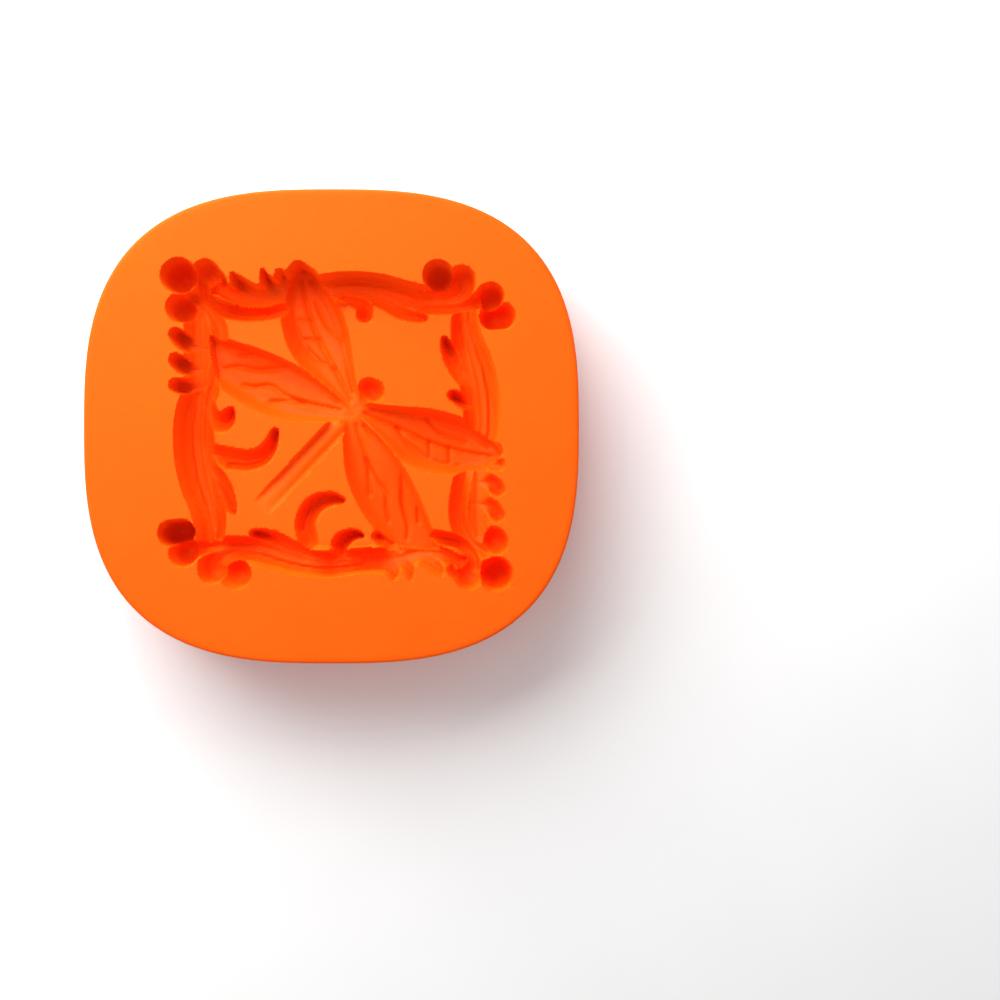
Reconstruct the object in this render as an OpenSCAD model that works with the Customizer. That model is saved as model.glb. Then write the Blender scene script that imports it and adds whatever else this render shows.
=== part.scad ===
// One-piece silicone casting mould with a dragonfly in a scrolled square frame.
// The mould lies on its flat underside with the cavity open upwards. The origin is at
// the middle of the underside, +Z is up and +Y is the top edge of the ornament.
// The cavity is the negative of the casting: a thin back plate, and on it the rails of
// the frame, leaves, balls, curls and the dragonfly, each as a rise past the plate.

/* [Slab] */
// Width of the mould at the middle of its sides
slab_w = 96; // [84:1:130]
// Length of the mould at the middle of its sides
slab_l = 92; // [80:1:130]
// Thickness of the mould
slab_h = 25; // [20:1:40]
// Squareness of the outline: 2 is an ellipse, larger is squarer
squareness = 2.85; // [2.5:0.05:5]
// Break on the edges round the casting face and the underside
edge_break = 0.8; // [0.4:0.1:2]

/* [Cavity] */
// Width of the whole ornament as a share of the design size of 70 mm
ornament_scale = 1; // [0.8:0.05:1.1]
// Thickness of the casting's back plate, which is the cavity's first depth
plate_depth = 5; // [4.5:0.5:8]
// Depth of the frame's rails past the back plate
rail_rise = 5.2; // [3:0.2:7]
// Depth of the leaf tips past the back plate
leaf_rise = 5.6; // [3:0.2:8]
// Depth of the curls past the back plate
curl_rise = 5.6; // [3:0.2:8]
// Depth of the corner balls past the back plate
ball_rise = 6.6; // [3:0.2:8]

/* [Dragonfly] */
// Depth of the wing tips past the back plate
wing_rise = 7.8; // [5:0.2:10]
// Depth of the thorax and the tail past the back plate
body_rise = 3.2; // [1.6:0.2:5]
// Depth of the head past the back plate
head_rise = 4.4; // [2:0.2:6]
// Angle of the body from the X axis
body_angle = 47; // [30:1:60]

/* [Hidden] */

// The cavity's surface is a grid of this many columns and rows over its half width and length
columns = 76;
rows = 72;
cavity_w = 36.8 * ornament_scale;
cavity_l = 35.2 * ornament_scale;
// Steps of a stroke's curve from one of its points to the next
curve_steps = 3;
// How steep the wall of the back plate is: its depth over its run
wall_slope = 6;
// How far the cutting surface stands over the face outside the ornament
clear_top = 2;
outline_sides = 120;
// The least half width and a margin to reach a stroke's neighbours on the grid
least_width = 0.3;
margin = 1;

// Middle of the ornament and of the dragonfly's wing roots, from the slab's middle
ornament_centre = [1.1, 0.3];
body_centre = [3.2, 2.6];
// Line that ends a hind wing: a point on its blunt end and the way inwards
hind_end = [-11.1, 27.4];
hind_inwards = [0.79, -0.61];
// The ground inside the frame runs out to the middle of the rails
ground_low = [-26, -24];
ground_high = [28, 24.6];

// Every stroke is a list of points [x, y, half width, share of its own rise] joined by a
// smooth curve. These are the strokes of half the frame: the other half is turned round.
balls = [
    [[-29.7, 29.3, 3.5, 1], [-29.5, 29.1, 3.5, 1]],
    [[-24.5, 29.8, 2.7, 0.66], [-24.1, 29.4, 2.7, 0.66]],
    [[-29.3, 23.1, 2.9, 0.92], [-29.1, 22.8, 2.9, 0.92]],
    [[20.7, 29.3, 3.1, 1], [20.9, 29.1, 3.1, 1]],
    [[30.9, 25.2, 2.8, 0.9], [30.5, 24.8, 2.8, 0.9]],
    [[33.2, 21.4, 2.7, 1], [31.2, 21.2, 2.7, 1]]
];
rails = [
    // top rail, left half: the stem along its lower edge
    [[-25.6, 28.2, 1.6, 0.9], [-25, 25.6, 1.7, 1], [-22.8, 23.6, 1.7, 1.15], [-19.6, 22.6, 1.6, 1.2],
        [-16.2, 22.3, 1.6, 1.2], [-12.6, 22.6, 1.6, 1.2], [-9, 23.6, 1.8, 1.1]],
    // top rail, right half: two bands, the upper one rolls up into the scroll
    [[-6, 27.4, 1.6, 0.8], [-2.6, 27.8, 1.6, 0.85], [2, 28.4, 1.6, 0.85], [6, 28.4, 1.6, 0.85],
        [10, 27.8, 1.7, 0.85], [14, 26.7, 1.7, 0.9], [18, 25.6, 1.9, 0.95], [22.5, 25.4, 2.2, 1],
        [25.1, 27, 2.7, 1], [25.3, 28.5, 2.8, 1]],
    [[-5, 25.4, 1.6, 0.8], [-1, 26, 1.7, 0.8], [3, 26.4, 1.7, 0.85], [7, 26, 1.8, 0.85],
        [10.5, 24.6, 1.9, 0.9], [13.6, 22.8, 1.8, 1], [16.4, 21.8, 1.3, 1.1], [17.9, 21.5, 0.8, 1.1]],
    [[15, 24.6, 1.8, 0.85], [18.6, 23.8, 1.7, 1], [22, 23.7, 1.7, 1.05], [25.4, 23.9, 1.7, 1.05],
        [28.2, 24.4, 1.8, 1]],
    // left rail, upper half: the stem along its inner edge
    [[-27.6, 25.2, 1.6, 0.8], [-24.8, 23, 2, 0.85], [-23, 19.8, 2.1, 0.9], [-22.6, 16.4, 2.1, 0.9],
        [-23, 13, 2.1, 0.9], [-23.8, 9.6, 2.1, 0.95], [-24.4, 6.4, 2, 1]],
    // left rail, lower half: outer and inner band
    [[-27.2, 6.6, 1.6, 0.95], [-28, 3.6, 2, 1], [-28.5, 0, 2.1, 1], [-28.5, -4, 2.1, 1],
        [-28, -8.2, 2.1, 1], [-27, -12.2, 2, 0.95], [-25.6, -15.8, 1.9, 0.9],
        [-24.7, -19, 1.9, 0.9], [-24.4, -22.4, 1.9, 0.9]],
    [[-24.6, 7.4, 1.7, 1], [-25.2, 4, 1.9, 1], [-25.4, 0, 2, 1], [-25.2, -4, 2.1, 1],
        [-24.6, -8, 2.1, 0.95], [-23.6, -12, 2, 0.95], [-22.8, -16, 1.7, 1], [-22.5, -19, 1.5, 1.05],
        [-22.8, -21.8, 1.5, 1]]
];
leaves = [
    // the top rail's ground and its lobes, from the corner
    [[-22.6, 27.2, 1.6, 0.75], [-19, 25.6, 2, 0.78], [-14.6, 25.2, 2.3, 0.78], [-9.6, 26.4, 2.8, 0.78],
        [-4.6, 26.6, 2.6, 0.8]],
    [[-21.9, 29.6, 0.9, 0.5], [-21.3, 28.2, 1.2, 0.6], [-21.9, 27, 1.3, 0.66], [-23.4, 26.6, 1.2, 0.7]],
    [[-19.2, 29.5, 0.5, 0.5], [-18.4, 28.2, 1.3, 0.66], [-16.8, 26.6, 1.9, 0.72], [-14.2, 25, 2, 0.75]],
    [[-13.3, 30.2, 0.5, 0.6], [-12.9, 28.8, 1.1, 0.7], [-11.8, 27.2, 1.8, 0.75], [-9.5, 25.4, 2.2, 0.78]],
    [[-10, 29.8, 0.9, 0.6], [-9.4, 28, 1.9, 0.72], [-7.6, 26.6, 2.4, 0.78], [-4, 26.6, 2.4, 0.8]],
    // the left rail's ground and its three outer lobes
    [[-26.2, 22, 2.2, 0.75], [-26, 18, 2.6, 0.75], [-26, 13, 2.6, 0.75], [-26.2, 8, 2.4, 0.8],
        [-26.8, 4, 2.4, 0.85]],
    [[-31, 18.4, 0.8, 0.4], [-29.6, 17.1, 1.6, 0.6], [-28, 15.9, 1.8, 0.7], [-25.4, 15.6, 1.6, 0.72]],
    [[-30.9, 13.3, 0.9, 0.4], [-29.7, 12.3, 1.7, 0.65], [-28.2, 11.3, 1.7, 0.72], [-25.6, 11.4, 1.6, 0.72]],
    [[-30.5, 8.2, 1.2, 0.5], [-29.2, 7.8, 1.7, 0.7], [-27.6, 7.7, 1.6, 0.76], [-25.6, 8.2, 1.6, 0.8]],
    // the ground under the bands of the top rail and of the left rail's lower half
    [[-2, 27, 2.2, 0.72], [4, 27.4, 2.2, 0.75], [10, 26.2, 2.4, 0.78], [14.4, 24.8, 2.8, 0.82],
        [19, 24.6, 2.4, 0.85], [24, 25.4, 2.6, 0.85]],
    [[-26.4, 6, 2.6, 0.85], [-27, 0, 3, 0.88], [-26.8, -5, 3, 0.88], [-26, -10, 3, 0.85],
        [-24.6, -15, 2.6, 0.82], [-23.6, -20, 2.2, 0.8]],
    // the long leaf inside the left rail's lower half
    [[-24.4, -8.2, 1.8, 0.85], [-22.6, -10.8, 2.1, 0.9], [-21.2, -13.3, 1.9, 1], [-20.2, -15.3, 1.3, 1.05],
        [-19.6, -16.7, 0.6, 1]]
];
// These curls stand inside the frame and are not repeated on the far side
curls = [
    [[-24.7, 6.4, 1.6, 0.9], [-24.6, 3.4, 1.8, 0.9], [-23.4, 1.4, 2, 0.95], [-21.6, 1, 2.1, 1],
        [-20.7, 2, 1.6, 1], [-20.1, 3.3, 0.8, 0.9]],
    [[-24, -5.2, 2, 0.8], [-20.4, -6.1, 2.2, 0.8], [-16.8, -6.5, 2.1, 0.85], [-14, -5.6, 1.9, 0.85],
        [-12.3, -3.6, 1.5, 0.85], [-11.4, -0.9, 0.8, 0.8]],
    [[-20.6, -7.2, 1, 0.9], [-17, -7.6, 1, 1.05], [-14, -6.6, 1.1, 1.1], [-12.2, -4.4, 1, 1],
        [-11.3, -1.6, 0.6, 0.9]],
    [[-4.8, -22.6, 2, 0.8], [-5.4, -19.2, 2.1, 0.85], [-4.5, -16.6, 2, 0.9], [-2.6, -14.9, 1.7, 0.95],
        [-0.5, -14.1, 1.5, 0.95], [1.6, -14.4, 0.8, 0.9]],
    [[-6.3, -20, 1, 0.9], [-6, -17.6, 1.1, 1], [-4.5, -15.2, 1.2, 1.1], [-2.2, -13.7, 1.2, 1.1],
        [0.4, -13.7, 0.9, 1]],
    [[1.4, -25, 1.7, 0.9], [1.5, -22.9, 1.9, 1], [2.8, -21.6, 1.6, 1.05], [4.4, -21.1, 1.1, 1],
        [5.5, -21.4, 0.6, 0.9]],
    [[13, -24.2, 1.8, 0.85], [10.6, -22.6, 1.7, 0.9], [8.6, -21.4, 1.1, 0.95]],
    [[1.8, 25.8, 1.5, 0.85], [4.4, 25, 1.7, 0.95], [6, 23.9, 1.8, 1.05], [6.2, 22.1, 1.7, 1.1]],
    [[27, 4, 1.5, 0.85], [25.2, 5.2, 1.4, 0.95], [23.6, 6.2, 1.2, 1]]
];
// The dragonfly's own frame: the first number runs towards the head, the second sideways
fore_wing = [[2, 0.6, 1.6, 0.5], [3.2, 4.4, 2.6, 0.6], [4.8, 9.4, 4.4, 0.7], [6.6, 14.4, 6.1, 0.85],
    [9, 18.8, 6, 0.95], [11.2, 22.6, 4.6, 1], [13.2, 25.2, 2.5, 1], [14.3, 26.5, 1.1, 0.98]];
hind_wing = [[-0.4, 1, 2, 0.5], [-2.5, 5.6, 3.7, 0.6], [-4.8, 10.6, 5.3, 0.68], [-6.6, 15.6, 5.8, 0.82],
    [-8, 20.2, 5.4, 0.92], [-9.5, 25, 4.7, 0.98], [-10.7, 29.5, 4.2, 1]];
tail = [[-1, 0, 2.1, 1], [-8, 0, 2.1, 0.95], [-16, 0, 2.1, 0.75], [-22, 0, 2.1, 0.4], [-25.5, 0, 2, 0]];
thorax = [[2.6, 0, 2.6, 1.1], [-0.8, 0, 2.4, 1.06]];
head = [[6.2, 0.4, 2.4, 1], [6.4, -0.4, 2.4, 1]];

// How flat the floor of a stroke is: 2 is round, larger is flatter
round_floor = 2;
leaf_floor = 3;
tail_floor = 4;
wing_floor = 4;

// The far side of the frame: the same stroke turned half round the ornament's middle
function turned(points) =
    [for (p = points) [2 * ornament_centre.x - p.x, 2 * ornament_centre.y - p.y, p[2], p[3]]];

// A stroke of the dragonfly set on its body line, on the left (1) or the right (-1) side
function on_body(points, side) = [for (p = points)
    [body_centre.x + p.x * cos(body_angle) - side * p.y * sin(body_angle),
        body_centre.y + p.x * sin(body_angle) + side * p.y * cos(body_angle), p[2], p[3]]];

// A point of the curve through b and c, which a and d steer
function curve_point(a, b, c, d, t) =
    0.5 * (2 * b + (c - a) * t + (2 * a - 5 * b + 4 * c - d) * t * t + (3 * b - a - 3 * c + d) * t * t * t);

function curve(p) = len(p) < 3 ? p : [
    for (i = [0:len(p) - 2])
        for (k = [0:curve_steps - 1])
            curve_point(p[max(i - 1, 0)], p[i], p[i + 1], p[min(i + 2, len(p) - 1)], k / curve_steps),
    p[len(p) - 1]
];

// A stroke ready to use, as the pieces between its curve's points. Each piece is
// [start, way to its end, floor, low x, high x, low y, high y, end line]
function stroke(points, rise, floor_kind, line = []) = let (
    c = [for (p = curve(points)) [p.x * ornament_scale, p.y * ornament_scale,
        max(p[2], least_width) * ornament_scale, max(p[3], 0) * rise]]
) [
    for (i = [0:len(c) - 2]) let (
        a = c[i],
        b = c[i + 1],
        w = max(a[2], b[2]) + margin
    ) [a, b - a, floor_kind, min(a.x, b.x) - w, max(a.x, b.x) + w, min(a.y, b.y) - w, max(a.y, b.y) + w, line]
];

// The line that ends a hind wing, as its point and its way inwards on the slab
function wing_end(side) = let (
    p = on_body([[hind_end.x, hind_end.y, 0, 0]], side)[0],
    q = on_body([[hind_end.x + hind_inwards.x, hind_end.y + hind_inwards.y, 0, 0]], side)[0]
) [[p.x, p.y] * ornament_scale, [q.x - p.x, q.y - p.y]];

pieces = [
    for (s = balls) for (p = [s, turned(s)]) each stroke(p, ball_rise, round_floor),
    for (s = rails) for (p = [s, turned(s)]) each stroke(p, rail_rise, round_floor),
    for (s = leaves) for (p = [s, turned(s)]) each stroke(p, leaf_rise, leaf_floor),
    for (s = curls) each stroke(s, curl_rise, round_floor),
    for (side = [1, -1]) each stroke(on_body(fore_wing, side), wing_rise, wing_floor),
    for (side = [1, -1]) each stroke(on_body(hind_wing, side), wing_rise, wing_floor, wing_end(side)),
    each stroke(on_body(tail, 1), body_rise, tail_floor),
    each stroke(on_body(thorax, 1), body_rise, round_floor),
    each stroke(on_body(head, 1), head_rise, round_floor)
];

// Whether a point lies on a wing's side of the line that ends it
function before_end(line, x, y) =
    len(line) == 0 || (x - line[0].x) * line[1].x + (y - line[0].y) * line[1].y > 0;

// One piece of a stroke at a point: [rise past the plate, distance inside its edge]
function reach(s, x, y) = let (
    a = s[0],
    d = s[1],
    t = min(max(((x - a.x) * d.x + (y - a.y) * d.y) / (d.x * d.x + d.y * d.y), 0), 1),
    w = a[2] + t * d[2],
    u = norm([x - a.x - t * d.x, y - a.y - t * d.y]) / w
) [u < 1 ? (a[3] + t * d[3]) * sqrt(1 - pow(u, s[2])) : 0, w * (1 - u)];

function ground_edge(x, y) = min(
    x - ground_low.x * ornament_scale, ground_high.x * ornament_scale - x,
    y - ground_low.y * ornament_scale, ground_high.y * ornament_scale - y
);

// Depth of the cavity under the face at a point: below zero it stands over the face
function depth(live, x, y) = let (
    hits = [for (s = live) if (x > s[3] && x < s[4] && before_end(s[7], x, y)) reach(s, x, y)],
    edge = max([ground_edge(x, y), -clear_top, for (h = hits) h.y]),
    rise = max([0, for (h = hits) h.x])
) min(max(edge * wall_slope, -clear_top), plate_depth) + rise;

function grid_x(i) = ornament_centre.x * ornament_scale - cavity_w + 2 * cavity_w * i / columns;
function grid_y(j) = ornament_centre.y * ornament_scale - cavity_l + 2 * cavity_l * j / rows;

// The cavity as one closed body: its shaped floor, a flat lid and four upright sides
module cavity() {
    floor_points = [
        for (j = [0:rows]) let (
            y = grid_y(j),
            live = [for (s = pieces) if (y > s[5] && y < s[6]) s]
        ) for (i = [0:columns]) [grid_x(i), y, slab_h - depth(live, grid_x(i), y)]
    ];
    n = columns + 1;
    rim = concat(
        [for (i = [0:columns - 1]) i],
        [for (j = [0:rows - 1]) j * n + columns],
        [for (i = [columns:-1:1]) rows * n + i],
        [for (j = [rows:-1:1]) j * n]
    );
    total = len(floor_points);
    lid = slab_h + 2 * clear_top;
    lid_points = [for (k = rim) [floor_points[k].x, floor_points[k].y, lid]];
    lid_middle = [ornament_centre.x * ornament_scale, ornament_centre.y * ornament_scale, lid];
    floor_faces = [
        for (j = [0:rows - 1]) for (i = [0:columns - 1]) let (k = j * n + i)
            for (f = [[k, k + 1, k + n + 1], [k, k + n + 1, k + n]]) f
    ];
    side_faces = [
        for (k = [0:len(rim) - 1]) let (m = (k + 1) % len(rim))
            for (f = [[rim[k], total + k, total + m], [rim[k], total + m, rim[m]]]) f
    ];
    lid_faces = [for (k = [0:len(rim) - 1]) [total + (k + 1) % len(rim), total + k, total + len(rim)]];
    polyhedron(
        points = concat(floor_points, lid_points, [lid_middle]),
        faces = concat(floor_faces, side_faces, lid_faces)
    );
}

// A rounded square with bulging sides, drawn in by inset
function outline(inset) = [
    for (k = [0:outline_sides - 1]) let (
        a = 360 * k / outline_sides,
        c = cos(a),
        s = sin(a)
    ) [
        sign(c) * (slab_w / 2 - inset) * pow(abs(c), 2 / squareness),
        sign(s) * (slab_l / 2 - inset) * pow(abs(s), 2 / squareness)
    ]
];

module slab() {
    hull() {
        linear_extrude(slab_h) polygon(outline(edge_break));
        translate([0, 0, edge_break]) linear_extrude(slab_h - 2 * edge_break) polygon(outline(0));
    }
}

module mould_body() {
    color([1, 0.46, 0.12]) difference() {
        slab();
        cavity();
    }
}

mould_body();
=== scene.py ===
"""Silicone casting mould: a dragonfly in a scrolled square frame, cast into a rounded slab."""

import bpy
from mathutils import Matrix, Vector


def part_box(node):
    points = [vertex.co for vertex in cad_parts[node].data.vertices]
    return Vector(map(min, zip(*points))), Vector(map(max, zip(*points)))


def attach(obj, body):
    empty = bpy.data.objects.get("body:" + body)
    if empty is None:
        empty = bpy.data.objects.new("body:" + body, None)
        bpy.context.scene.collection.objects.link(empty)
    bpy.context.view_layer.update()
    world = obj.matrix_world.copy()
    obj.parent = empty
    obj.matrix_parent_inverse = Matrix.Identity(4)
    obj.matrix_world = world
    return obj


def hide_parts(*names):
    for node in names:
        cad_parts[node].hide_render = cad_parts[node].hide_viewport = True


bl_info = {
    "name": "Silicone casting mould",
    "version": (1, 0, 0),
    "blender": (4, 5, 0),
    "location": "3D View > Sidebar > Mould",
    "description": "Builds a one-piece open silicone mould and its studio",
    "category": "Object",
}

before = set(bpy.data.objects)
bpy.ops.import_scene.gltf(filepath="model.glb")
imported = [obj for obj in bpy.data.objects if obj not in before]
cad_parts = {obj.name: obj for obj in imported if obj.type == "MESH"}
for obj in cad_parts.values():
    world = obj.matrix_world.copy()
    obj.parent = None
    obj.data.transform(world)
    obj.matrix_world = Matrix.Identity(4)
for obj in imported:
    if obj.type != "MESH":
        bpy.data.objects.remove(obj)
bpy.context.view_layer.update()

import math

import bpy
import numpy as np

SLAB_LOW, SLAB_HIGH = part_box("mould_body")
MM = 0.001

# ---------------------------------------------------------------------------
# The ornament, in millimetres from the middle of the slab's face. A stroke is a list of
# points [x, y, half width, share of its group's rise] joined by a smooth curve. Balls,
# rails and leaves are those of half the frame: the other half is turned round.
# ---------------------------------------------------------------------------
ORNAMENT_CENTRE = (1.1, 0.3)
BODY_CENTRE = (3.2, 2.6)  # where the wings meet

BALLS = [
    [[-29.7, 29.3, 3.5, 1], [-29.5, 29.1, 3.5, 1]],
    [[-24.5, 29.8, 2.7, 0.66], [-24.1, 29.4, 2.7, 0.66]],
    [[-29.3, 23.1, 2.9, 0.92], [-29.1, 22.8, 2.9, 0.92]],
    [[20.7, 29.3, 3.1, 1], [20.9, 29.1, 3.1, 1]],
    [[30.9, 25.2, 2.8, 0.9], [30.5, 24.8, 2.8, 0.9]],
    [[33.2, 21.4, 2.7, 1], [31.2, 21.2, 2.7, 1]]
]
RAILS = [
    # top rail, left half: the stem along its lower edge
    [[-25.6, 28.2, 1.6, 0.9], [-25, 25.6, 1.7, 1], [-22.8, 23.6, 1.7, 1.15], [-19.6, 22.6, 1.6, 1.2],
        [-16.2, 22.3, 1.6, 1.2], [-12.6, 22.6, 1.6, 1.2], [-9, 23.6, 1.8, 1.1]],
    # top rail, right half: two bands, the upper one rolls up into the scroll
    [[-6, 27.4, 1.6, 0.8], [-2.6, 27.8, 1.6, 0.85], [2, 28.4, 1.6, 0.85], [6, 28.4, 1.6, 0.85],
        [10, 27.8, 1.7, 0.85], [14, 26.7, 1.7, 0.9], [18, 25.6, 1.9, 0.95], [22.5, 25.4, 2.2, 1],
        [25.1, 27, 2.7, 1], [25.3, 28.5, 2.8, 1]],
    [[-5, 25.4, 1.6, 0.8], [-1, 26, 1.7, 0.8], [3, 26.4, 1.7, 0.85], [7, 26, 1.8, 0.85],
        [10.5, 24.6, 1.9, 0.9], [13.6, 22.8, 1.8, 1], [16.4, 21.8, 1.3, 1.1], [17.9, 21.5, 0.8, 1.1]],
    [[15, 24.6, 1.8, 0.85], [18.6, 23.8, 1.7, 1], [22, 23.7, 1.7, 1.05], [25.4, 23.9, 1.7, 1.05],
        [28.2, 24.4, 1.8, 1]],
    # left rail, upper half: the stem along its inner edge
    [[-27.6, 25.2, 1.6, 0.8], [-24.8, 23, 2, 0.85], [-23, 19.8, 2.1, 0.9], [-22.6, 16.4, 2.1, 0.9],
        [-23, 13, 2.1, 0.9], [-23.8, 9.6, 2.1, 0.95], [-24.4, 6.4, 2, 1]],
    # left rail, lower half: outer and inner band
    [[-27.2, 6.6, 1.6, 0.95], [-28, 3.6, 2, 1], [-28.5, 0, 2.1, 1], [-28.5, -4, 2.1, 1],
        [-28, -8.2, 2.1, 1], [-27, -12.2, 2, 0.95], [-25.6, -15.8, 1.9, 0.9],
        [-24.7, -19, 1.9, 0.9], [-24.4, -22.4, 1.9, 0.9]],
    [[-24.6, 7.4, 1.7, 1], [-25.2, 4, 1.9, 1], [-25.4, 0, 2, 1], [-25.2, -4, 2.1, 1],
        [-24.6, -8, 2.1, 0.95], [-23.6, -12, 2, 0.95], [-22.8, -16, 1.7, 1], [-22.5, -19, 1.5, 1.05],
        [-22.8, -21.8, 1.5, 1]]
]
LEAVES = [
    # the top rail's ground and its lobes, from the corner
    [[-22.6, 27.2, 1.6, 0.75], [-19, 25.6, 2, 0.78], [-14.6, 25.2, 2.3, 0.78], [-9.6, 26.4, 2.8, 0.78],
        [-4.6, 26.6, 2.6, 0.8]],
    [[-21.9, 29.6, 0.9, 0.5], [-21.3, 28.2, 1.2, 0.6], [-21.9, 27, 1.3, 0.66], [-23.4, 26.6, 1.2, 0.7]],
    [[-19.2, 29.5, 0.5, 0.5], [-18.4, 28.2, 1.3, 0.66], [-16.8, 26.6, 1.9, 0.72], [-14.2, 25, 2, 0.75]],
    [[-13.3, 30.2, 0.5, 0.6], [-12.9, 28.8, 1.1, 0.7], [-11.8, 27.2, 1.8, 0.75], [-9.5, 25.4, 2.2, 0.78]],
    [[-10, 29.8, 0.9, 0.6], [-9.4, 28, 1.9, 0.72], [-7.6, 26.6, 2.4, 0.78], [-4, 26.6, 2.4, 0.8]],
    # the left rail's ground and its three outer lobes
    [[-26.2, 22, 2.2, 0.75], [-26, 18, 2.6, 0.75], [-26, 13, 2.6, 0.75], [-26.2, 8, 2.4, 0.8],
        [-26.8, 4, 2.4, 0.85]],
    [[-30.2, 17.9, 1.4, 0.7], [-29.4, 17.1, 1.7, 0.72], [-28, 16, 1.8, 0.72], [-25.4, 15.6, 1.6, 0.72]],
    [[-30.2, 12.9, 1.4, 0.7], [-29.5, 12.3, 1.7, 0.72], [-28.2, 11.4, 1.7, 0.74], [-25.6, 11.4, 1.6, 0.72]],
    [[-30.1, 8, 1.5, 0.72], [-29.2, 7.8, 1.7, 0.75], [-27.6, 7.7, 1.6, 0.76], [-25.6, 8.2, 1.6, 0.8]],
    # the ground under the bands of the top rail and of the left rail's lower half
    [[-2, 27, 2.2, 0.72], [4, 27.4, 2.2, 0.75], [10, 26.2, 2.4, 0.78], [14.4, 24.8, 2.8, 0.82],
        [19, 24.6, 2.4, 0.85], [24, 25.4, 2.6, 0.85]],
    [[-26.4, 6, 2.6, 0.85], [-27, 0, 3, 0.88], [-26.8, -5, 3, 0.88], [-26, -10, 3, 0.85],
        [-24.6, -15, 2.6, 0.82], [-23.6, -20, 2.2, 0.8]],
    # the long leaf inside the left rail's lower half
    [[-24.4, -8.2, 1.8, 0.85], [-22.6, -10.8, 2.1, 0.9], [-21.2, -13.3, 1.9, 1], [-20.2, -15.3, 1.3, 1.05],
        [-19.6, -16.7, 0.6, 1]]
]
# These curls stand inside the frame and are not repeated on the far side
CURLS = [
    [[-24.7, 6.4, 1.6, 0.9], [-24.6, 3.4, 1.8, 0.9], [-23.4, 1.4, 2, 0.95], [-21.6, 1, 2.1, 1],
        [-20.7, 2, 1.6, 1], [-20.1, 3.3, 0.8, 0.9]],
    [[-24, -5.2, 2, 0.8], [-20.4, -6.1, 2.2, 0.8], [-16.8, -6.5, 2.1, 0.85], [-14, -5.6, 1.9, 0.85],
        [-12.3, -3.6, 1.5, 0.85], [-11.4, -0.9, 0.8, 0.8]],
    [[-20.6, -7.2, 1.2, 0.85], [-17, -7.4, 1.3, 0.92], [-14, -6.3, 1.4, 0.94], [-12.4, -4.2, 1.3, 0.9],
        [-11.5, -1.6, 0.9, 0.8]],
    [[-4.8, -22.6, 2, 0.8], [-5.4, -19.2, 2.1, 0.85], [-4.5, -16.6, 2, 0.9], [-2.6, -14.9, 1.7, 0.95],
        [-0.5, -14.1, 1.5, 0.95], [1.6, -14.4, 0.8, 0.9]],
    [[-6.2, -20, 1.2, 0.88], [-5.8, -17.6, 1.4, 0.92], [-4.4, -15.4, 1.5, 0.96], [-2.2, -14.1, 1.4, 0.96],
        [0.4, -14, 1.1, 0.92]],
    [[1.4, -25, 1.7, 0.9], [1.5, -22.9, 1.9, 1], [2.8, -21.6, 1.6, 1.05], [4.4, -21.1, 1.1, 1],
        [5.5, -21.4, 0.6, 0.9]],
    [[13, -24.2, 1.8, 0.85], [10.6, -22.6, 1.7, 0.9], [8.6, -21.4, 1.1, 0.95]],
    [[1.8, 25.8, 1.5, 0.85], [4.4, 25, 1.7, 0.95], [6, 23.9, 1.8, 1.05], [6.2, 22.1, 1.7, 1.1]],
    [[27, 4, 1.5, 0.85], [25.2, 5.2, 1.4, 0.95], [23.6, 6.2, 1.2, 1]]
]
# The dragonfly's own frame: the first number runs towards the head, the second sideways
FORE_WING = [[2, 0.6, 1.6, 0.5], [3.2, 4.4, 2.6, 0.6], [4.8, 9.4, 4.4, 0.7], [6.6, 14.4, 6.1, 0.85],
    [9, 18.8, 6, 0.95], [11.2, 22.6, 4.6, 1], [13.2, 25.2, 2.5, 1], [14.3, 26.5, 1.1, 0.98]]
HIND_WING = [[-0.4, 1, 2, 0.5], [-2.5, 5.6, 3.7, 0.6], [-4.8, 10.6, 5.3, 0.68], [-6.6, 15.6, 5.8, 0.82],
    [-8, 20.2, 5.4, 0.92], [-9.5, 25, 4.7, 0.98], [-10.7, 29.5, 4.2, 1]]
TAIL = [[-1, 0, 2.1, 1], [-8, 0, 2.1, 0.95], [-16, 0, 2.1, 0.75], [-22, 0, 2.1, 0.4], [-25.5, 0, 2, 0]]
THORAX = [[2.6, 0, 2.6, 1.1], [-0.8, 0, 2.4, 1.06]]
HEAD = [[6.2, 0.4, 2.4, 1], [6.4, -0.4, 2.4, 1]]
# The line that cuts a hind wing's end off: a point on it and the way inwards
HIND_END = (-11.1, 27.4)
HIND_INWARDS = (0.79, -0.61)
# Veins: lines of the same frame, with the half width and the extra depth of each, in mm
FORE_VEINS = [
    [(3.6, 2.6, 0.5, 0.5), (7.4, 7.6, 0.7, 0.7), (10.6, 12.6, 0.8, 0.8), (13.4, 18.4, 0.8, 0.8),
     (14.2, 24.0, 0.6, 0.6)],
    [(2.2, 2.0, 0.4, 0.5), (4.5, 9.0, 0.5, 0.6), (6.5, 15.0, 0.5, 0.6), (9.6, 21.0, 0.5, 0.5),
     (12.8, 25.8, 0.4, 0.4)],
    [(4.3, 8.4, 0.4, 0.5), (3.4, 13.0, 0.5, 0.5), (4.2, 18.0, 0.5, 0.5), (7.2, 22.6, 0.4, 0.4)],
    [(9.6, 11.2, 0.4, 0.4), (9.6, 15.6, 0.4, 0.5), (11.4, 20.4, 0.4, 0.4)],
    [(6.5, 15.0, 0.4, 0.4), (4.6, 17.0, 0.4, 0.4)],
    [(8.4, 18.6, 0.4, 0.4), (6.6, 20.6, 0.4, 0.4)],
]
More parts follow.
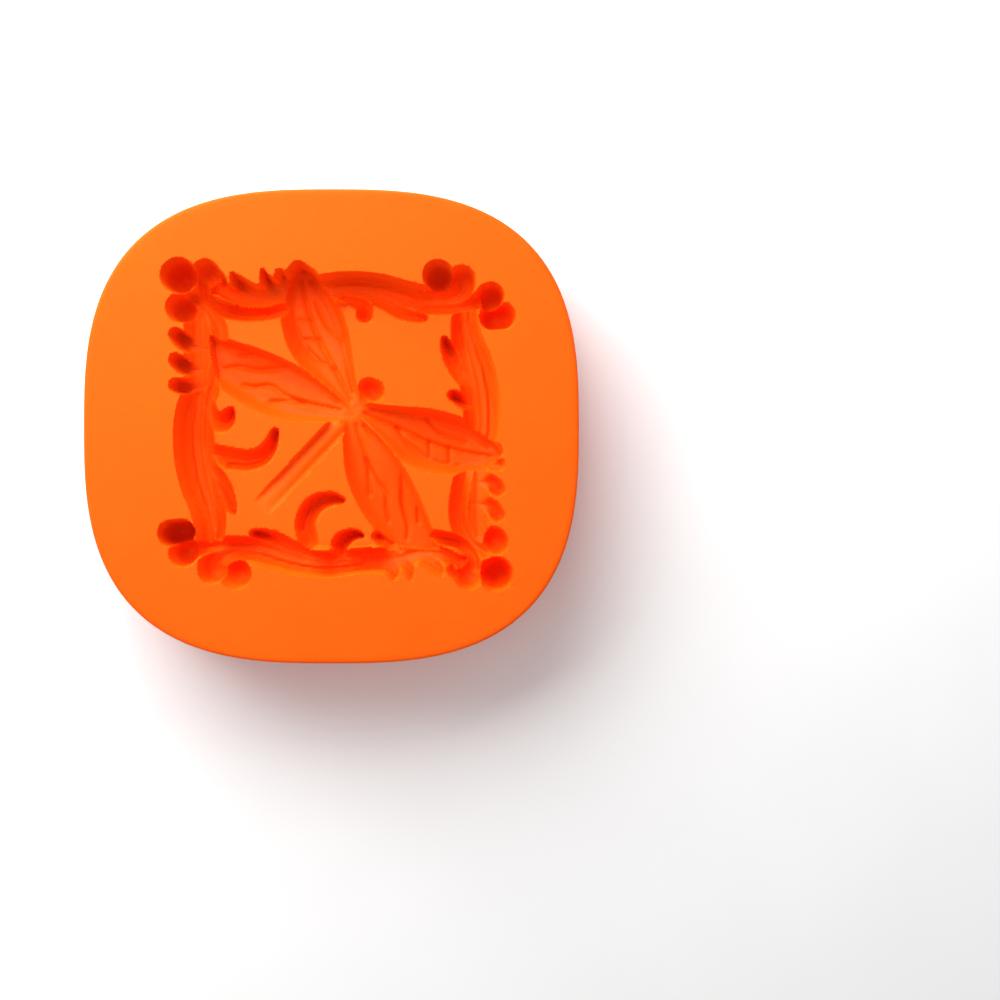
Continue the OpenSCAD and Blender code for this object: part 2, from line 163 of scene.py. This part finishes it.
HIND_VEINS = [
    [(0.2, 3.6, 0.5, 0.5), (-0.1, 9.0, 0.7, 0.8), (-1.5, 15.4, 0.8, 0.9), (-3.4, 20.6, 0.6, 0.7),
     (-6.4, 26.6, 0.5, 0.5)],
    [(-1.5, 15.4, 0.5, 0.6), (-5.9, 19.4, 0.5, 0.6), (-8.2, 22.9, 0.5, 0.5), (-10.4, 24.8, 0.4, 0.4)],
    [(-0.8, 2.2, 0.4, 0.4), (-3.4, 6.4, 0.4, 0.5), (-5.6, 9.9, 0.5, 0.5), (-9.0, 13.4, 0.5, 0.5)],
    [(-4.6, 8.4, 0.4, 0.4), (-6.2, 12.4, 0.5, 0.5), (-6.8, 15.7, 0.5, 0.5), (-8.8, 17.7, 0.4, 0.5),
     (-10.4, 19.8, 0.4, 0.4)],
    [(-4.8, 22.4, 0.4, 0.6), (-6.4, 24.2, 0.4, 0.5)],
]
# The ground inside the frame runs out to the middle of the rails
GROUND = ((-26.0, -24.0), (28.0, 24.6))

# How flat the floor of a stroke is across its width: 2 is a parabola, larger is flatter
BALL_FLOOR = 2.2
RAIL_FLOOR = 2.6
LEAF_FLOOR = 3.0
CURL_FLOOR = 2.4
THORAX_FLOOR = 2.4
WING_FLOOR = 5
TAIL_FLOOR = 6
TAIL_CREST = 0.45  # depth of the crest down the middle of the tail, as a share of the tail's depth
WING_CREST = 0.90  # the same for a wing
VEIN_FADE = 4  # how late the veins fade out towards a wing's edge
VEIN_GAIN = 1.6  # how much deeper than their listed depth the wing veins are cut
END_RUN = 0.7  # how far a hind wing's blunt end leans in, in mm
GROOVE_SHARE = 0.045  # depth of the grooves along rails, leaves and curls, as a share of their rise
GROOVES = 1.5  # grooves from the middle of a stroke to its edge
# How softly neighbouring strokes flow together, in mm: their floors, their edges, the insect's parts
CLOSE_FLOORS = 0.6
CLOSE_EDGES = 0.5
CLOSE_BODY = 0.5
WALL_LEAD = 1.2  # how much faster than the plate's wall the ornament's depth sets in
CURVE_STEP = 0.5  # length of a curve's pieces, in mm
LEAST_WIDTH = 0.2  # half width that a curve never goes under, in mm
NEAR = 1.5  # distance from a stroke, in half widths, to which its edge is measured
FAR = 9.0  # the distance kept where a stroke is out of reach

# The mesh
GRID_STEP = 0.31 * MM
BORDER_LINES = 5
ORNAMENT_SHARE = 0.90  # how far out the ornament reaches on the way to the outline
ROUNDING_STEPS = 4
BOTTOM_INSET = 20 * MM  # how far in the underside's last ring lies
SNAP_REACH = 0.5  # points nearer an edge line than this share of the grid's step move onto it
SNAP_LIMIT = 0.4  # and none moves further than this share
LEAST_CORNER = 0.02  # smallest corner of a cell, as a share of the step squared
SHARP_ANGLE = math.radians(48)

# The studio
FLOOR_HALF = 1.5
FLOOR_GAP = 0.05 * MM
AIR_STRENGTH = 0.54
KEY_PLACE = (-0.09, 0.16, 0.15)
KEY_SIZE = 0.30
KEY_POWER = 1.6
CAMERA_AIM = (0.0327, -0.0143)  # the point of the slab's face that the view is centred on
CAMERA_DISTANCE = 0.42
VIEW_WIDTH = 0.1936  # width of the view at the slab's face
SENSOR_WIDTH = 36.0


def to_linear(code):
    """A hex sRGB colour as linear red, green, blue."""
    parts = [int(code[i:i + 2], 16) / 255 for i in (1, 3, 5)]
    return tuple(c / 12.92 if c <= 0.04045 else ((c + 0.055) / 1.055) ** 2.4 for c in parts)


# ---------------------------------------------------------------------------
# Settings
# ---------------------------------------------------------------------------
class MouldSizes(bpy.types.PropertyGroup):
    """Sizes of the slab and its cavity"""
    width: bpy.props.FloatProperty(
        name="Width", description="Width of the slab", default=SLAB_HIGH.x - SLAB_LOW.x, unit="LENGTH")
    length: bpy.props.FloatProperty(
        name="Length", description="Length of the slab",
        default=SLAB_HIGH.y - SLAB_LOW.y, unit="LENGTH")
    height: bpy.props.FloatProperty(
        name="Thickness", description="Thickness of the slab",
        default=SLAB_HIGH.z - SLAB_LOW.z, unit="LENGTH")
    squareness: bpy.props.FloatProperty(
        name="Squareness", description="Outline's power: 2 is an ellipse, larger is squarer",
        default=2.85)
    plate: bpy.props.FloatProperty(
        name="Back plate", description="Thickness of the casting's back plate",
        default=5.0 * MM, unit="LENGTH")
    wall_run: bpy.props.FloatProperty(
        name="Wall run", description="How far the plate's wall leans in over its depth",
        default=0.8 * MM, unit="LENGTH")
    rail_rise: bpy.props.FloatProperty(
        name="Rails", description="Depth of the rails past the plate",
        default=5.2 * MM, unit="LENGTH")
    leaf_rise: bpy.props.FloatProperty(
        name="Leaves", description="Depth of the leaves past the plate",
        default=5.6 * MM, unit="LENGTH")
    curl_rise: bpy.props.FloatProperty(
        name="Curls", description="Depth of the curls past the plate",
        default=5.6 * MM, unit="LENGTH")
    ball_rise: bpy.props.FloatProperty(
        name="Balls", description="Depth of the corner balls past the plate",
        default=6.6 * MM, unit="LENGTH")
    wing_rise: bpy.props.FloatProperty(
        name="Wings", description="Depth of the wing tips past the plate",
        default=7.8 * MM, unit="LENGTH")
    body_rise: bpy.props.FloatProperty(
        name="Body", description="Depth of the thorax and tail past the plate",
        default=3.2 * MM, unit="LENGTH")
    head_rise: bpy.props.FloatProperty(
        name="Head", description="Depth of the head past the plate",
        default=4.4 * MM, unit="LENGTH")
    rim: bpy.props.FloatProperty(
        name="Rim rounding", description="Radius of the rounded rim round the face",
        default=0.7 * MM, unit="LENGTH")
    foot: bpy.props.FloatProperty(
        name="Foot rounding", description="Radius of the rounded edge round the underside",
        default=1.2 * MM, unit="LENGTH")
    body_angle: bpy.props.FloatProperty(
        name="Body angle", description="Angle of the dragonfly's body from the X axis",
        default=math.radians(47.0), subtype="ANGLE")


class MouldColours(bpy.types.PropertyGroup):
    """Colours of the rubber, and the painted shade of the cavity's lower reaches"""
    face: bpy.props.FloatVectorProperty(
        name="Face", description="Orange of the rubber's open face", subtype="COLOR", size=3,
        default=to_linear("#FD5B03"))
    # Painted shade: a redder, darker orange laid on the cavity below the plate, standing in for the shade
    # in its recesses
    painted_shade: bpy.props.FloatVectorProperty(
        name="Depth", description="Redder orange deep in the cavity", subtype="COLOR", size=3,
        default=to_linear("#FC5402"))


# ---------------------------------------------------------------------------
# The relief
# ---------------------------------------------------------------------------
def curve(points):
    """The points of a smooth curve through a stroke's points."""
    p = np.array(points, float)
    if len(p) < 3:
        return p
    ends = np.vstack([2 * p[0] - p[1], p, 2 * p[-1] - p[-2]])
    out = []
    for a, b, c, d in zip(ends, ends[1:], ends[2:], ends[3:]):
        count = max(2, int(np.hypot(*(c - b)[:2]) / CURVE_STEP))
        t = np.linspace(0, 1, count, endpoint=False)[:, None]
        out.append(0.5 * (2 * b + (c - a) * t + (2 * a - 5 * b + 4 * c - d) * t ** 2
                          + (3 * b - a - 3 * c + d) * t ** 3))
    out.append(p[-1:])
    points = np.vstack(out)
    points[:, 2] = np.maximum(points[:, 2], LEAST_WIDTH)
    return points


def along(x, y, points):
    """For each place: its distance from the stroke over the half width, with that half width and the
    stroke's rise there. Places out of reach keep the distance FAR."""
    path = curve(points)
    reach = path[:, 2].max() * 1.6 + 1
    near = ((x > path[:, 0].min() - reach) & (x < path[:, 0].max() + reach)
            & (y > path[:, 1].min() - reach) & (y < path[:, 1].max() + reach))
    u, width, rise = np.full(x.shape, FAR), np.full(x.shape, 1.0), np.zeros(x.shape)
    px, py = x[near], y[near]
    best, best_w, best_h = np.full(px.shape, FAR), np.full(px.shape, 1.0), np.zeros(px.shape)
    for a, b in zip(path, path[1:]):
        d = b - a
        t = np.clip(((px - a[0]) * d[0] + (py - a[1]) * d[1]) / max(d[0] ** 2 + d[1] ** 2, 1e-9), 0, 1)
        w = a[2] + t * d[2]
        r = np.hypot(px - a[0] - t * d[0], py - a[1] - t * d[1]) / w
        closer = r < best
        best = np.where(closer, r, best)
        best_w = np.where(closer, w, best_w)
        best_h = np.where(closer, a[3] + t * d[3], best_h)
    u[near], width[near], rise[near] = best, best_w, best_h
    return u, width, rise


def soft_max(a, b, k):
    """The larger of two depths, blended over k where they are close and neither is flat ground."""
    blend = np.clip(np.minimum(a, b) / k, 0, 1) * np.maximum(k - np.abs(a - b), 0) ** 2 / (4 * k)
    return np.maximum(a, b) + blend


def turned(points):
    """The stroke turned half round the ornament's middle."""
    return [(2 * ORNAMENT_CENTRE[0] - x, 2 * ORNAMENT_CENTRE[1] - y, w, h) for x, y, w, h in points]


def on_body(points, angle, side):
    """A stroke of the dragonfly's frame on the slab, on the left (1) or the right (-1) of its body."""
    c, s = math.cos(angle), math.sin(angle)
    return [(BODY_CENTRE[0] + p[0] * c - side * p[1] * s, BODY_CENTRE[1] + p[0] * s + side * p[1] * c,
             *p[2:]) for p in points]


def dome(u, rise, power):
    """A stroke's floor across its width."""
    return np.where(u < 1, rise * (1 - np.minimum(u, 1) ** power), 0)


def crested(u, depth):
    """Share of a stroke's depth across its width, with a crest of the given depth down its middle."""
    return depth + (1 - depth) * u ** 2


def wing_depth(x, y, angle, side, points, veins, rise, end=None):
    """Floor of one wing and the distance inside its edge: the floor has a low crest down its middle
    and the veins cut into it."""
    u, w, share = along(x, y, on_body(points, angle, side))
    inside = np.minimum(u, 1)
    floor = rise * share * (1 - inside ** WING_FLOOR) * crested(inside, WING_CREST)
    for vein in veins:
        across, _, cut = along(x, y, on_body(vein, angle, side))
        floor += VEIN_GAIN * cut * np.exp(-np.minimum(across, FAR) ** 2) * (1 - inside ** VEIN_FADE)
    floor = np.where(u < 1, floor, 0)
    inner = w * (1 - u)
    if end:
        beyond = (end[0] + HIND_INWARDS[0], end[1] + HIND_INWARDS[1])
        (ax, ay), (bx, by) = on_body([end, beyond], angle, side)
        before = (x - ax) * (bx - ax) + (y - ay) * (by - ay)
        floor *= np.clip(before / END_RUN, 0, 1)
        inner = np.minimum(inner, before)
    return floor, np.where(u < NEAR, inner, -1)


def wings(x, y, sizes):
    """Depth of the deepest wing past the plate at each place, and the distance inside the wings' edges."""
    floor, inner = np.zeros(x.shape), np.full(x.shape, -1.0)
    for side in (1, -1):
        for points, veins, end in ((FORE_WING, FORE_VEINS, None), (HIND_WING, HIND_VEINS, HIND_END)):
            new, inside = wing_depth(x, y, sizes.body_angle, side, points, veins, sizes.wing_rise / MM, end)
            floor, inner = np.maximum(floor, new), np.maximum(inner, inside)
    return floor, inner


def frame_shape(x, y, sizes):
    """Depth of the frame's strokes past the plate, and the distance inside the ornament's edge there."""
    shape = np.zeros(x.shape)
    edge = np.minimum(np.minimum(x - GROUND[0][0], GROUND[1][0] - x),
                      np.minimum(y - GROUND[0][1], GROUND[1][1] - y))
    groups = [(BALLS, sizes.ball_rise, BALL_FLOOR, True, 0),
              (RAILS, sizes.rail_rise, RAIL_FLOOR, True, GROOVE_SHARE),
              (LEAVES, sizes.leaf_rise, LEAF_FLOOR, True, GROOVE_SHARE),
              (CURLS, sizes.curl_rise, CURL_FLOOR, False, GROOVE_SHARE)]
    for strokes, rise, power, repeated, groove in groups:
        for points in strokes:
            for path in (points, turned(points)) if repeated else (points,):
                u, w, share = along(x, y, path)
                near = u < NEAR
                cut = share * (1 + groove * np.cos(2 * np.pi * GROOVES * np.minimum(u, 1)))
                edge = np.where(near, soft_max(edge, w * (1 - u), CLOSE_EDGES), edge)
                floor = dome(u, cut * rise / MM, power)
                shape = np.where(near, soft_max(shape, floor, CLOSE_FLOORS), shape)
    return shape, edge


def cavity_depth(x, y, sizes):
    """Depth of the cavity below the face, in mm, at places x, y on the slab."""
    shape, edge = frame_shape(x, y, sizes)
    floor, inner = wings(x, y, sizes)
    edge = np.maximum(edge, inner)
    shape = np.maximum(shape, floor)
    u, _, share = along(x, y, on_body(TAIL, sizes.body_angle, 1))
    tail = dome(u, share * sizes.body_rise / MM, TAIL_FLOOR) * crested(np.minimum(u, 1), TAIL_CREST)
    shape = np.maximum(shape, tail)
    for points, rise in ((THORAX, sizes.body_rise), (HEAD, sizes.head_rise)):
        u, _, share = along(x, y, on_body(points, sizes.body_angle, 1))
        shape = soft_max(shape, dome(u, share * rise / MM, THORAX_FLOOR), CLOSE_BODY)
    wall = np.clip(edge / (sizes.wall_run / MM), 0, 1)
    return np.where(edge > 0, sizes.plate / MM * wall + shape * np.clip(wall * WALL_LEAD, 0, 1), 0)


def edge_lines(sizes):
    """Fields whose zero lines are the ornament's crisp edges: its rim on the face, the foot of the
    plate's wall, and the edges of the wings, tail and head inside it."""
    def rim(x, y):
        return np.maximum(frame_shape(x, y, sizes)[1], wings(x, y, sizes)[1])

    def foot(x, y):
        return rim(x, y) - sizes.wall_run / MM

    def insect(x, y):
        inner = wings(x, y, sizes)[1]
        for points in (TAIL, HEAD):
            u, w, _ = along(x, y, on_body(points, sizes.body_angle, 1))
            inner = np.maximum(inner, np.where(u < NEAR, w * (1 - u), -1))
        return inner

    return rim, foot, insect


def snap(x, y, sizes, step):
    """Moves grid points that lie close to an edge line onto it, so that no edge runs in steps."""
    h = 0.02  # how far apart the line's slope is taken, in mm
    least_slope = 0.25
    free = np.ones(x.shape, bool)
    for line in edge_lines(sizes):
        near = free & (np.abs(line(x, y)) < SNAP_REACH * step)
        px, py = x[near], y[near]
        value = line(px, py)
        gx, gy = (line(px + h, py) - value) / h, (line(px, py + h) - value) / h
        slope = np.maximum(gx ** 2 + gy ** 2, least_slope)
        dx, dy = -value * gx / slope, -value * gy / slope
        length = np.maximum(np.hypot(dx, dy), 1e-9)
        keep = np.minimum(length, SNAP_LIMIT * step) / length
        x[near], y[near] = px + dx * keep, py + dy * keep
        free &= ~near
    return x, y


def unfold(x, y, old_x, old_y, step):
    """Puts grid points back where moving them has turned a cell's corner inside out."""
    rounds = 4
    for _ in range(rounds):
        bad = np.zeros(x.shape, bool)
        px = (x[:-1, :-1], x[:-1, 1:], x[1:, 1:], x[1:, :-1])
        py = (y[:-1, :-1], y[:-1, 1:], y[1:, 1:], y[1:, :-1])
        # The turn at each corner of each cell, from the corner before it to the one after it
        turns = [(px[k - 3] - px[k]) * (py[k - 1] - py[k]) - (py[k - 3] - py[k]) * (px[k - 1] - px[k])
                 for k in range(4)]
        way = np.sign(np.median(turns[0]))
        cell = np.min([way * t for t in turns], axis=0) < LEAST_CORNER * step ** 2
        for rows in (slice(None, -1), slice(1, None)):
            for columns in (slice(None, -1), slice(1, None)):
                bad[rows, columns] |= cell
        x, y = np.where(bad, old_x, x), np.where(bad, old_y, y)
    return x, y


# ---------------------------------------------------------------------------
# The slab
# ---------------------------------------------------------------------------
def outline_at(direction, sizes):
    """Points of the outline in the given directions from the middle, in metres."""
    dx, dy = np.cos(direction), np.sin(direction)
    n = sizes.squareness
    r = (np.abs(dx / (sizes.width / 2)) ** n + np.abs(dy / (sizes.length / 2)) ** n) ** (-1 / n)
    return dx * r, dy * r


def grid_lines(half):
    """Lines across the slab from -1 to 1: close over the ornament, wide over the plain border."""
    count = int(round(2 * half * ORNAMENT_SHARE / GRID_STEP))
    fine = np.linspace(-ORNAMENT_SHARE, ORNAMENT_SHARE, count + 1)
    border = np.linspace(ORNAMENT_SHARE, 1, BORDER_LINES + 1)[1:]
    return np.concatenate([-border[::-1], fine, border])


def slab_mesh(sizes):
    """The whole mould as one closed mesh: its face with the cavity, the rim, the side and the underside."""
    half_w, half_l = sizes.width / 2, sizes.length / 2
    # A square grid drawn onto the outline, so that its border runs along the rim
    u, v = np.meshgrid(grid_lines(half_w), grid_lines(half_l))
    share = np.maximum(np.abs(u), np.abs(v))
    ox, oy = outline_at(np.arctan2(v * half_l, u * half_w), sizes)
    x = ox * share * (1 - sizes.rim / half_w)
    y = oy * share * (1 - sizes.rim / half_l)
    top = sizes.height
    step = GRID_STEP / MM
    moved = snap(x / MM, y / MM, sizes, step)
    x, y = (c * MM for c in unfold(*moved, x / MM, y / MM, step))
    z = top - cavity_depth(x / MM, y / MM, sizes) * MM
    rows, cols = x.shape
    verts = [np.stack([x.ravel(), y.ravel(), z.ravel()], 1)]
    k = np.arange(rows * cols).reshape(rows, cols)
    faces = [np.stack([k[:-1, :-1], k[:-1, 1:], k[1:, 1:], k[1:, :-1]], -1).reshape(-1, 4)]
    ring = np.concatenate([k[0, :-1], k[:-1, -1], k[-1, :0:-1], k[:0:-1, 0]])
    count = len(ring)
    edge_x, edge_y = x.ravel()[ring], y.ravel()[ring]
    direction = np.arctan2(edge_y, edge_x)
    ox, oy = outline_at(direction, sizes)
    # How far in from the outline and how high each ring stands, from the face down to the underside
    angles = np.linspace(0, math.pi / 2, ROUNDING_STEPS + 1)[1:]
    profile = [(sizes.rim * (1 - math.sin(a)), top - sizes.rim * (1 - math.cos(a))) for a in angles]
    profile += [(0.0, top - sizes.rim - (top - sizes.foot - sizes.rim) * t) for t in (0.5, 1.0)]
    profile += [(sizes.foot * (1 - math.cos(a)), sizes.foot * (1 - math.sin(a))) for a in angles]
    profile += [(BOTTOM_INSET, 0.0)]
    previous = ring
    start = rows * cols
    for inset, height in profile:
        shrink_x = (half_w - inset) / half_w
        shrink_y = (half_l - inset) / half_l
        verts.append(np.stack([ox * shrink_x, oy * shrink_y, np.full(count, height)], 1))
        new = np.arange(start, start + count)
        faces.append(np.stack([np.roll(previous, -1), previous, new, np.roll(new, -1)], 1))
        previous = new
        start += count
    verts.append(np.array([[0.0, 0.0, 0.0]]))
    quads = np.vstack(faces)
    fan = np.stack([np.roll(previous, -1), previous, np.full(count, start)], 1)
    return np.vstack(verts), quads, fan


def new_mesh_object(name, verts, quads, fan):
    """A smooth-shaded object with the given points and faces, linked to the scene."""
    mesh = bpy.data.meshes.new(name)
    mesh.from_pydata(verts.tolist(), [], quads.tolist() + fan.tolist())
    mesh.polygons.foreach_set("use_smooth", [True] * len(mesh.polygons))
    mesh.validate()
    mesh.update()
    piece = bpy.data.objects.new(name, mesh)
    bpy.context.scene.collection.objects.link(piece)
    return piece


# ---------------------------------------------------------------------------
# Materials
# ---------------------------------------------------------------------------
def add_node(tree, kind, inputs=None, **settings):
    """Adds a node. inputs names its sockets, each with a value or with the socket to link from."""
    node = tree.nodes.new(kind)
    for name, value in settings.items():
        setattr(node, name, value)
    for name, value in (inputs or {}).items():
        if isinstance(value, bpy.types.NodeSocket):
            tree.links.new(value, node.inputs[name])
        else:
            node.inputs[name].default_value = value
    return node


def silicone_material(colours, top):
    """Platinum-cure silicone rubber, orange, poured against a smooth pattern: satin, a little translucent,
    so light that enters comes out redder and narrow places glow red;
    below the plate the colour is also painted redder and darker, painted shade for the cavity's recesses."""
    mat = bpy.data.materials.new("platinum_cure_silicone")
    mat.use_nodes = True
    tree = mat.node_tree
    tree.nodes.clear()
    out = add_node(tree, "ShaderNodeOutputMaterial")
    coords = add_node(tree, "ShaderNodeTexCoord").outputs["Object"]
    height = add_node(tree, "ShaderNodeSeparateXYZ", {"Vector": coords}).outputs["Z"]
    # The face's colour down to just past the plate, turning into the redder painted-shade colour below it:
    # painted shade that darkens the cavity with depth
    depth = add_node(tree, "ShaderNodeMapRange",
                     {"Value": height, "From Min": top - 5.6 * MM, "From Max": top - 9.5 * MM})
    # Pigment clouds about 9 mm across
    clouds = add_node(tree, "ShaderNodeTexNoise", {
        "Vector": coords, "Scale": 1 / (9 * MM), "Detail": 3.0, "Roughness": 0.55}).outputs["Fac"]
    # Painted shade: the face colour mixed towards the redder shade colour the lower the surface lies
    face = add_node(tree, "ShaderNodeMix", {"A": (*colours.face, 1), "B": (*colours.painted_shade, 1),
                                            "Factor": depth.outputs["Result"]}, data_type="RGBA")
    shade = add_node(tree, "ShaderNodeMapRange", {"Value": clouds, "To Min": 0.96, "To Max": 1.04})
    tinted = add_node(tree, "ShaderNodeHueSaturation",
                      {"Color": face.outputs[2], "Value": shade.outputs["Result"]})
    # Fine grain off the pattern, 0.35 mm across
    grain = add_node(tree, "ShaderNodeTexNoise",
                     {"Vector": coords, "Scale": 1 / (0.35 * MM), "Detail": 2.0}).outputs["Fac"]
    bump = add_node(tree, "ShaderNodeBump", {"Height": grain, "Strength": 0.12, "Distance": 0.05 * MM})
    rough = add_node(tree, "ShaderNodeMapRange", {"Value": clouds, "To Min": 0.52, "To Max": 0.62})
    skin = add_node(tree, "ShaderNodeBsdfPrincipled", {
        "Base Color": tinted.outputs["Color"], "Roughness": rough.outputs["Result"], "IOR": 1.41,
        "Specular IOR Level": 0.12, "Normal": bump.outputs["Normal"], "Subsurface Weight": 0.3,
        "Subsurface Radius": (1.0, 0.30, 0.08), "Subsurface Scale": 1.8 * MM})
    tree.links.new(skin.outputs["BSDF"], out.inputs["Surface"])
    return mat


def floor_material():
    """Matt white laminate board: an even pale ground with the faintest mottle."""
    mat = bpy.data.materials.new("white_laminate_board")
    mat.use_nodes = True
    tree = mat.node_tree
    tree.nodes.clear()
    out = add_node(tree, "ShaderNodeOutputMaterial")
    coords = add_node(tree, "ShaderNodeTexCoord").outputs["Object"]
    mottle = add_node(tree, "ShaderNodeTexNoise", {"Vector": coords, "Scale": 40.0, "Detail": 2.0})
    white = add_node(tree, "ShaderNodeMapRange",
                     {"Value": mottle.outputs["Fac"], "To Min": 0.88, "To Max": 0.92})
    skin = add_node(tree, "ShaderNodeBsdfPrincipled",
                    {"Base Color": white.outputs["Result"], "Roughness": 0.6})
    tree.links.new(skin.outputs["BSDF"], out.inputs["Surface"])
    return mat


# ---------------------------------------------------------------------------
# Operators
# ---------------------------------------------------------------------------
class MOULD_OT_body(bpy.types.Operator):
    """Build the silicone mould in place of its plain solid"""
    bl_idname = "mould.body"
    bl_label = "Build mould"

    def execute(self, context):
        sizes = context.scene.mould_sizes
        piece = new_mesh_object("silicone_mould", *slab_mesh(sizes))
        piece.data.set_sharp_from_angle(angle=SHARP_ANGLE)
        piece.data.materials.append(silicone_material(context.scene.mould_colours, sizes.height))
        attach(piece, "root")
        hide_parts("mould_body")
        return {"FINISHED"}


class MOULD_OT_studio(bpy.types.Operator):
    """Set up the floor, the light and the camera"""
    bl_idname = "mould.studio"
    bl_label = "Set up studio"

    def execute(self, context):
        scene = context.scene
        half = FLOOR_HALF
        mesh = bpy.data.meshes.new("studio_floor")
        mesh.from_pydata([(-half, -half, 0), (half, -half, 0), (half, half, 0), (-half, half, 0)],
                         [], [(0, 1, 2, 3)])
        ground = bpy.data.objects.new("studio_floor", mesh)
        ground.location.z = SLAB_LOW.z - FLOOR_GAP
        mesh.materials.append(floor_material())
        scene.collection.objects.link(ground)
        world = bpy.data.worlds.new("studio_air")
        world.use_nodes = True
        air = world.node_tree.nodes["Background"]
        air.inputs["Color"].default_value = (1.0, 1.0, 1.0, 1.0)
        air.inputs["Strength"].default_value = AIR_STRENGTH
        scene.world = world
        soft_lamp("key_light", KEY_PLACE, KEY_SIZE, KEY_POWER)
        lens = bpy.data.cameras.new("camera")
        camera = bpy.data.objects.new("camera", lens)
        scene.collection.objects.link(camera)
        lens.sensor_width = SENSOR_WIDTH
        lens.lens = SENSOR_WIDTH * CAMERA_DISTANCE / VIEW_WIDTH
        camera.location = (*CAMERA_AIM, SLAB_HIGH.z + CAMERA_DISTANCE)
        scene.camera = camera
        scene.view_settings.view_transform = "Standard"
        return {"FINISHED"}


def soft_lamp(name, place, size, power):
    """A square softbox that faces the mould."""
    data = bpy.data.lights.new(name, "AREA")
    data.size = size
    data.energy = power
    lamp = bpy.data.objects.new(name, data)
    lamp.location = place
    target = (SLAB_LOW + SLAB_HIGH) / 2
    lamp.rotation_euler = (target - lamp.location).to_track_quat("-Z", "Y").to_euler()
    bpy.context.scene.collection.objects.link(lamp)


class MOULD_PT_panel(bpy.types.Panel):
    """Settings and steps of the mould"""
    bl_idname = "MOULD_PT_panel"
    bl_label = "Casting mould"
    bl_space_type = "VIEW_3D"
    bl_region_type = "UI"
    bl_category = "Mould"

    def draw(self, context):
        """List the settings and the steps"""
        for group in (context.scene.mould_sizes, context.scene.mould_colours):
            for name in group.__annotations__:
                self.layout.prop(group, name)
        self.layout.operator(MOULD_OT_body.bl_idname)
        self.layout.operator(MOULD_OT_studio.bl_idname)


CLASSES = (MouldSizes, MouldColours, MOULD_OT_body, MOULD_OT_studio, MOULD_PT_panel)


def register():
    """Register the classes and hang the settings on the scene"""
    for cls in CLASSES:
        bpy.utils.register_class(cls)
    bpy.types.Scene.mould_sizes = bpy.props.PointerProperty(type=MouldSizes)
    bpy.types.Scene.mould_colours = bpy.props.PointerProperty(type=MouldColours)


def unregister():
    """Take the settings and the classes away again"""
    del bpy.types.Scene.mould_colours
    del bpy.types.Scene.mould_sizes
    for cls in reversed(CLASSES):
        bpy.utils.unregister_class(cls)


def main():
    register()
    bpy.ops.mould.body()
    bpy.ops.mould.studio()


if __name__ == "__main__":
    main()
